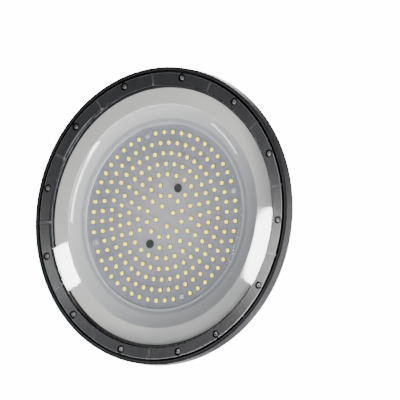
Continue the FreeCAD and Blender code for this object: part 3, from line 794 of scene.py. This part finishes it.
@dataclass
class CrossScrews:
    """Cross-recessed pan-head screws, heads down, in place of one CAD node's plain ones."""

    finishes: dict[str, bpy.types.Material]
    node: str
    name: str
    head_height: float
    finish: Slot | Extra = Slot.SCREW
    shank_radius: float = 1.5 * MM
    head_sides: int = 32
    rounding: float = 0.42  # share of the head's height that its rounded edge takes up
    rounding_steps: int = 4
    smooth_angle: float = math.radians(40)
    slot_width: float = 0.72 * MM
    slot_depth: float = 1.0 * MM
    slot_span: float = 1.24  # length of an arm of the cross, times the head's radius
    slot_taper: Range = (0.7, 0.45)  # width and length at the bottom, times those at the top
    turn_step: float = 1.9  # radians from one screw's cross to the next one's

    def cut(self, piece: bpy.types.Object, radius: float, turn: float) -> None:
        """Sinks one arm of the cross into the head.

        Args:
            piece: the screw.
            radius: radius of the head.
            turn: which way the arm runs, in radians.
        """
        bpy.ops.object.select_all(action="DESELECT")
        bpy.ops.mesh.primitive_cube_add(size=1)
        cutter = bpy.context.object
        bpy.ops.object.mode_set(mode="EDIT")
        bpy.ops.transform.resize(value=(self.slot_width, radius * self.slot_span, 2 * self.slot_depth))
        pick_faces(cutter, lambda centre, normal: normal.z > FACING)
        bpy.ops.transform.resize(value=(*self.slot_taper, 1.0))
        bpy.ops.object.mode_set(mode="OBJECT")
        cutter.data.transform(Matrix.Rotation(turn, 4, "Z"))
        only(piece)
        recess = piece.modifiers.new("recess", "BOOLEAN")
        recess.object = cutter
        recess.operation = "DIFFERENCE"
        bpy.ops.object.modifier_apply(modifier=recess.name)
        bpy.data.objects.remove(cutter)

    def master(self, radius: float, length: float) -> bpy.types.Object:
        """Models one screw with the front of its head on the origin and its shank upwards.

        Args:
            radius: radius of the head.
            length: whole length, head and shank.

        Returns:
            The finished screw.
        """
        bpy.ops.object.select_all(action="DESELECT")
        bpy.ops.mesh.primitive_cylinder_add(vertices=self.head_sides, radius=radius, depth=self.head_height,
                                            location=(0, 0, self.head_height / 2))
        piece = bpy.context.object
        bpy.ops.object.transform_apply(location=True, rotation=True, scale=True)
        piece.data.materials.append(self.finishes[self.finish.value])
        bpy.ops.object.mode_set(mode="EDIT")
        pick_faces(piece, lambda centre, normal: normal.z > FACING)
        bpy.ops.mesh.inset(thickness=radius - self.shank_radius, depth=0)
        bpy.ops.mesh.extrude_region_move(
            TRANSFORM_OT_translate={"value": (0, 0, length - self.head_height)})
        pick_edges(piece, lambda a, b: a.z < LEVEL and b.z < LEVEL)
        bpy.ops.mesh.bevel(offset=self.head_height * self.rounding, segments=self.rounding_steps,
                           affect="EDGES")
        bpy.ops.object.mode_set(mode="OBJECT")
        self.cut(piece, radius, 0.0)
        self.cut(piece, radius, math.pi / 2)
        only(piece)
        bpy.ops.object.shade_smooth_by_angle(angle=self.smooth_angle)
        return piece

    def build(self) -> bpy.types.Object:
        """Puts a screw in place of each plain one, each turned its own way.

        Returns:
            The joined screws.
        """
        solids = islands(self.node)
        first = solids[0]
        radius = (first.high.x - first.low.x) / 2
        places = []
        for number, solid in enumerate(solids):
            at = Vector((solid.middle.x, solid.middle.y, solid.low.z))
            places.append(Matrix.Translation(at) @ Matrix.Rotation(self.turn_step * number, 4, "Z"))
        piece = copies(self.master(radius, first.high.z - first.low.z), places, self.name)
        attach(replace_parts(piece, self.node), "root")
        LOG.info("%s: %d screws", piece.name, len(places))
        return piece


# ---------------------------------------------------------------- camera and light


@dataclass(frozen=True)
class Viewpoint:
    """Orthographic camera below the lamp, looking up at its lit side."""

    tilt: float = math.radians(33.5)
    side: float = math.radians(192.42)
    roll: float = math.radians(10.4)
    width: float = 374 * MM
    right_of_lamp: float = 36.7 * MM
    above_lamp: float = 14.7 * MM
    distance: float = 1.0
    sight: float = 10.0  # how far the camera sees, in metres

    @property
    def outward(self) -> Vector:
        """Level direction that the camera stands out to."""
        return Vector((math.cos(self.side), math.sin(self.side), 0))

    @property
    def back(self) -> Vector:
        """Direction from the lamp to the camera."""
        return self.outward * math.sin(self.tilt) - Vector((0, 0, math.cos(self.tilt)))

    @property
    def mirror(self) -> Vector:
        """Direction in which the flat face reflects the camera's line of sight."""
        return Vector((-self.back.x, -self.back.y, self.back.z))

    def axes(self) -> tuple[Vector, Vector]:
        """Works out the picture's right and up directions.

        Returns:
            The two directions.
        """
        level = Vector((math.sin(self.side), -math.cos(self.side), 0))
        steep = (self.outward - self.back * math.sin(self.tilt)) / math.cos(self.tilt)
        right = steep * math.cos(self.roll) + level * math.sin(self.roll)
        up = level * math.cos(self.roll) - steep * math.sin(self.roll)
        return right, up

    def build(self) -> None:
        """Adds the camera and makes it the scene's."""
        right, up = self.axes()
        aim = right * self.right_of_lamp + up * self.above_lamp
        at = aim + self.back * self.distance
        data = bpy.data.cameras.new("camera")
        data.type = "ORTHO"
        data.ortho_scale = self.width
        data.clip_end = self.sight
        camera = bpy.data.objects.new("camera", data)
        turn = Matrix((right, up, self.back)).transposed().to_4x4()
        camera.matrix_world = Matrix.Translation(at) @ turn
        bpy.context.scene.collection.objects.link(camera)
        bpy.context.scene.camera = camera


def on_face(angle: float, radius: float) -> Vector:
    """Point in the plane of the lamp's face.

    Args:
        angle: angle from the lamp's +Y axis towards -X, in degrees.
        radius: distance from the lamp's axis, in metres.

    Returns:
        The point.
    """
    turn = math.radians(angle)
    return Vector((-radius * math.sin(turn), radius * math.cos(turn), 0))


def from_below(angle: float, tilt: float) -> Vector:
    """Direction from the lamp's face to a light below it.

    Args:
        angle: angle from the lamp's +Y axis towards -X, in degrees.
        tilt: angle away from straight down, in degrees.

    Returns:
        The direction.
    """
    lean = math.radians(tilt)
    return on_face(angle, math.sin(lean)) - Vector((0, 0, math.cos(lean)))


@dataclass(frozen=True)
class Softbox:
    """Soft area light that shines at a point by the lamp, its first side set along the radius there."""

    name: str
    target: Vector
    towards: Vector
    distance: float
    size: tuple[float, float]
    power: float
    colour: Colour

    def build(self) -> None:
        """Adds the light."""
        data = bpy.data.lights.new(self.name, "AREA")
        data.shape = "RECTANGLE"
        data.size, data.size_y = self.size
        data.energy = self.power
        data.color = self.colour
        lamp = bpy.data.objects.new(self.name, data)
        back = self.towards.normalized()
        radial = self.target - back * self.target.dot(back)
        across = radial.normalized() if self.target.length else back.orthogonal()
        facing = Matrix((across, back.cross(across), back)).transposed().to_4x4()
        lamp.matrix_world = Matrix.Translation(self.target + back * self.distance) @ facing
        lamp.visible_camera = False
        bpy.context.scene.collection.objects.link(lamp)


@dataclass(frozen=True)
class Studio:
    """Pale room: a floor far below, a white surround and soft lights."""

    view: Viewpoint
    floor_drop: float = 6.0
    floor_size: float = 24.0
    floor_glare: float = 6.0
    floor_tones: tuple[Colour, Colour] = ((0.78, 0.78, 0.78), (0.82, 0.82, 0.82))
    floor_cloud: float = 0.4
    floor_roughness: float = 0.8
    surround: float = 0.07
    surround_tone: Colour = (0.66, 0.80, 1.0)
    backdrop: float = 19.0

    def floor(self) -> None:
        """Adds the plain pale floor, brighter where the camera sees it than where it lights."""
        bpy.ops.object.select_all(action="DESELECT")
        bpy.ops.mesh.primitive_plane_add(size=self.floor_size, location=(0, 0, -self.floor_drop))
        plane = bpy.context.object
        plane.name = "floor"
        graph = Graph("floor_paint")
        colour = graph.blend(graph.noise(self.floor_cloud, 3), *self.floor_tones)
        paint = graph.node("BsdfPrincipled", Base_Color=colour, Roughness=self.floor_roughness)
        seen = graph.node("Emission", Color=colour, Strength=self.floor_glare)
        graph.choose("Is Camera Ray", paint, seen)
        plane.data.materials.append(graph.material)

    def sky(self) -> None:
        """Sets the white surround, brighter where the camera sees it than where it lights."""
        world = bpy.data.worlds.new("surround")
        bpy.context.scene.world = world
        world.use_nodes = True
        tree = world.node_tree
        light = tree.nodes["Background"]
        light.inputs["Strength"].default_value = self.surround
        light.inputs["Color"].default_value = (*self.surround_tone, 1.0)
        seen = tree.nodes.new("ShaderNodeBackground")
        seen.inputs["Strength"].default_value = self.backdrop
        path = tree.nodes.new("ShaderNodeLightPath")
        mixed = tree.nodes.new("ShaderNodeMixShader")
        tree.links.new(path.outputs["Is Camera Ray"], mixed.inputs[0])
        tree.links.new(light.outputs[0], mixed.inputs[1])
        tree.links.new(seen.outputs[0], mixed.inputs[2])
        tree.links.new(mixed.outputs[0], tree.nodes["World Output"].inputs["Surface"])

    def build(self) -> None:
        """Adds the floor, the surround and the lights."""
        self.floor()
        self.sky()
        mirror = self.view.mirror
        centre = Vector((0, 0, 0))
        white, warm, cool = (1.0, 1.0, 1.0), (1.0, 0.97, 0.92), (0.96, 0.98, 1.0)
        # name, point aimed at, direction to the light, distance, sides (m), power (W), colour
        boxes = (
            Softbox("right_band_box", on_face(107, 318 * MM), mirror, 3.0, (0.038, 0.158), 1.9, white),
            Softbox("left_band_box", on_face(255, 301 * MM), mirror, 3.0, (0.030, 0.095), 0.95, white),
            Softbox("right_bezel_box", on_face(110, 130 * MM), mirror, 0.7, (0.016, 0.070), 0.18, white),
            Softbox("left_bezel_box", on_face(249, 130 * MM), mirror, 0.7, (0.016, 0.050), 0.045, white),
            Softbox("key_box", centre, from_below(135, 88), 1.6, (0.3, 0.3), 210.0, warm),
            Softbox("front_box", centre, from_below(150, 60), 1.6, (0.5, 0.5), 11.0, cool),
            Softbox("rim_box", centre, Vector((-0.55, -0.02, 0.83)), 1.6, (0.5, 0.5), 3.0, white),
            Softbox("top_box", centre, Vector((0.42, 0.10, 0.86)), 1.8, (0.9, 0.9), 85.0, white),
            Softbox("back_box", centre, Vector((0.10, 0.85, 0.52)), 1.8, (1.2, 0.4), 40.0, white),
        )
        for box in boxes:
            box.build()
        LOG.info("studio ready")


def dress(finishes: dict[str, bpy.types.Material]) -> None:
    """Gives every CAD node its finish.

    Args:
        finishes: materials by their finish's name.
    """
    for name, slot in NODE_SLOTS.items():
        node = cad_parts[name]
        if not node.material_slots:
            node.data.materials.append(None)
        for place in node.material_slots:
            place.material = finishes[slot.value]
        LOG.info("%s: %s", name, slot.value)


def main() -> None:
    """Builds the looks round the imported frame."""
    logging.basicConfig(level=logging.INFO, format="%(name)s %(message)s")
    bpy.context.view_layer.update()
    finishes = {finish.label: finish.make() for finish in FINISHES}
    dress(finishes)
    LedPackages(finishes).build()
    CrossScrews(finishes, "bezel_screws", "bezel_screws_crossed", head_height=2.0 * MM).build()
    CrossScrews(finishes, "board_screws", "board_screws_crossed", head_height=1.2 * MM, finish=Extra.ZINC,
                slot_depth=0.7 * MM).build()
    view = Viewpoint()
    view.build()
    Studio(view).build()


if __name__ == "__main__":
    main()
